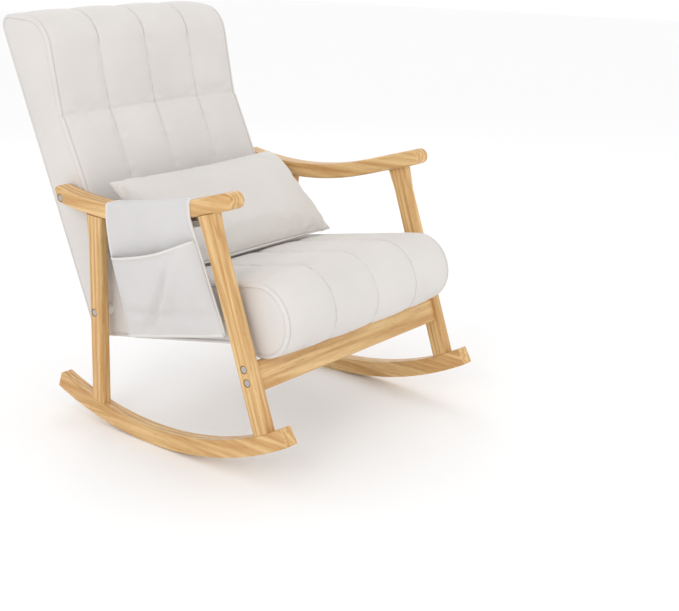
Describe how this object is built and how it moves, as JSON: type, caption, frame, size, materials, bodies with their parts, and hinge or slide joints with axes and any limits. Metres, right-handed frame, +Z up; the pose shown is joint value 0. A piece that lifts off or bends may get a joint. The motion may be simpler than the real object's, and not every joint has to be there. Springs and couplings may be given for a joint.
{
  "type": "rocking nursery armchair",
  "caption": "Upholstered high-back rocking armchair on curved wooden runners, with open wooden arms, a loose lumbar pillow and a cloth pocket over one arm.",
  "frame": {"origin": "on the floor, under the middle of the chair", "axes": "+Z up, the chair faces -Y, +X is the sitter's left"},
  "size_m": [0.6795, 0.9342, 0.9281],
  "materials": {
    "dowel_wood": "bare turned wood",
    "dust_cloth": "thin non-woven cloth",
    "foam": "cut padding",
    "frame_wood": "satin clear lacquer on honey-coloured wood",
    "hook_and_loop": "hook-and-loop tape",
    "inner_wood": "bare sawn wood and plywood",
    "pillow_fabric": "matt warm off-white weave",
    "pocket_binding": "folded canvas tape",
    "pocket_canvas": "plain white canvas",
    "spacer_plastic": "moulded",
    "steel": "zinc-plated, satin",
    "upholstery": "matt warm off-white weave",
    "webbing": "woven elastic",
    "zip_plastic": "coil zip"
  },
  "bodies": {
    "chair": {"arm_bolts": "steel", "arm_spacers": "spacer_plastic", "armrest_left": "frame_wood", "armrest_right": "frame_wood", "back_cheek_left": "inner_wood", "back_cheek_right": "inner_wood", "back_cover": "upholstery", "back_foam": "foam", "back_rail_lower": "inner_wood", "back_rail_middle": "inner_wood", "back_rail_upper": "inner_wood", "back_rear_cover": "upholstery", "back_side_cover_left": "upholstery", "back_side_cover_right": "upholstery", "back_webbing": "webbing", "barrel_nuts": "steel", "bracket_screws": "steel", "corner_plate_screws": "steel", "corner_plates": "steel", "dust_cover": "dust_cloth", "frame_dowels": "dowel_wood", "front_leg_left": "frame_wood", "front_leg_right": "frame_wood", "front_rail": "frame_wood", "front_rail_bolts": "steel", "leg_spacers": "spacer_plastic", "pocket_hem": "pocket_binding", "pocket_pouch": "pocket_canvas", "pocket_sling": "pocket_canvas", "pocket_straps": "hook_and_loop", "rear_leg_bolts": "steel", "rear_leg_left": "frame_wood", "rear_leg_right": "frame_wood", "runner_left": "frame_wood", "runner_right": "frame_wood", "seat_brackets": "steel", "seat_cover": "upholstery", "seat_cross_rail_front": "inner_wood", "seat_cross_rail_rear": "inner_wood", "seat_foam": "foam", "seat_nose_block": "inner_wood", "seat_rail_left": "inner_wood", "seat_rail_right": "inner_wood", "seat_side_cover_left": "upholstery", "seat_side_cover_right": "upholstery", "seat_webbing": "webbing", "tee_nuts": "steel"},
    "pillow": {"lumbar_pillow": "pillow_fabric", "pillow_zip": "zip_plastic"}
  },
  "joints": [
    {"name": "pillow_lift", "type": "slide", "parent": "chair", "child": "pillow", "axis": [0, 0, 1], "range_m": [0, 0.35]}
  ]
}
